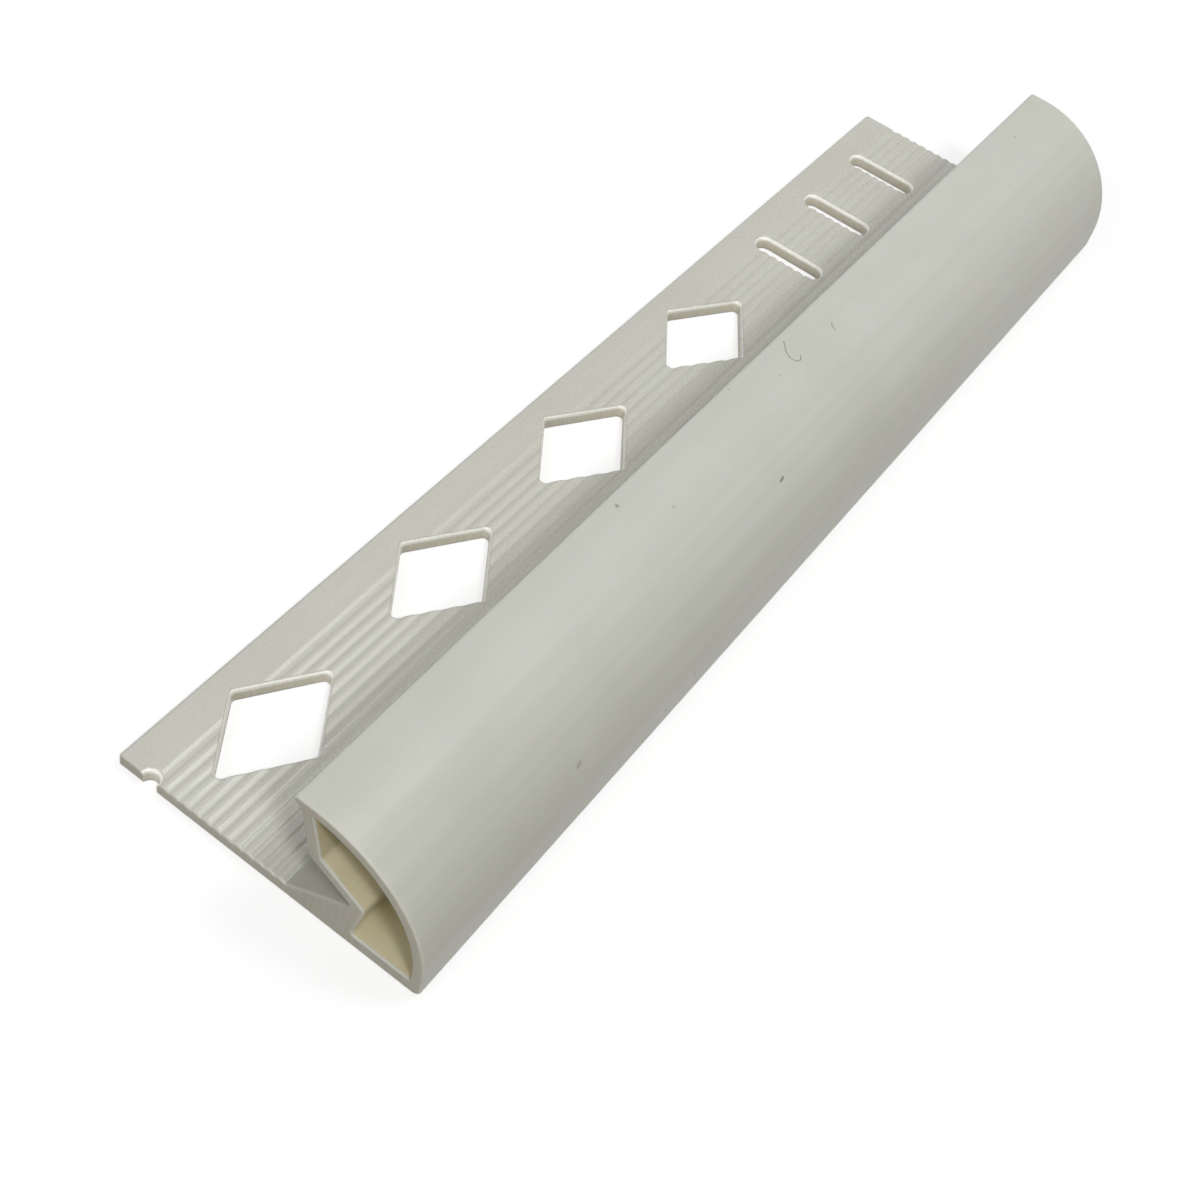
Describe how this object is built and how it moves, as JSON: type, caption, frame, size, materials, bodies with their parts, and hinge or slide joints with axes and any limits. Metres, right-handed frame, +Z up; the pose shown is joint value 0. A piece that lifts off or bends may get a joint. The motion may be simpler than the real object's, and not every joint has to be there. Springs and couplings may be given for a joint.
{
  "type": "tile edge trim",
  "caption": "Short length of extruded plastic tile edge trim: a ribbed flat leg with diamond keying holes beside a closed hollow quadrant with a keying groove.",
  "frame": {"origin": "middle of the bounding box's underside, on the flat underside of the leg", "axes": "+X across the section from the leg's free edge to the heel of the quadrant, +Y along the extrusion, +Z up from the bed to the top of the quadrant"},
  "size_m": [0.0246, 0.1, 0.0114],
  "materials": {
    "pvc": "off-white extruded rigid PVC, satin, with a sawn finish on both ends"
  },
  "bodies": {
    "root": {"quadrant_trim": "pvc"}
  },
  "joints": []
}
